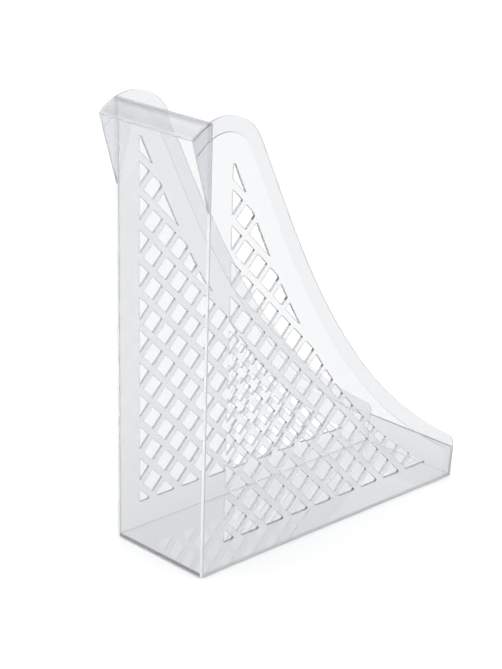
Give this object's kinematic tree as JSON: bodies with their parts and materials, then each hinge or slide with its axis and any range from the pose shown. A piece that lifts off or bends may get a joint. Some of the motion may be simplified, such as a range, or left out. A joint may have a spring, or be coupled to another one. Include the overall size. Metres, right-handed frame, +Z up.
{
  "type": "magazine rack",
  "caption": "Clear plastic upright magazine rack: tall back, curled handle lip, diamond-pierced side walls with a curved slope, low front.",
  "frame": {"origin": "middle of the rack's bounding box, on the surface that it stands on", "axes": "+Z up; X along the depth, with the tall spine at -X and the low open front at +X; Y across the width"},
  "size_m": [0.2558, 0.0862, 0.2982],
  "materials": {
    "clear_plastic": "clear glossy injection-moulded polystyrene"
  },
  "bodies": {
    "root": {"spine_panel": "clear_plastic", "left_side_panel": "clear_plastic", "right_side_panel": "clear_plastic", "floor_panel": "clear_plastic", "front_wall": "clear_plastic", "handle_lip": "clear_plastic", "left_handle_gusset": "clear_plastic", "right_handle_gusset": "clear_plastic"}
  },
  "joints": []
}
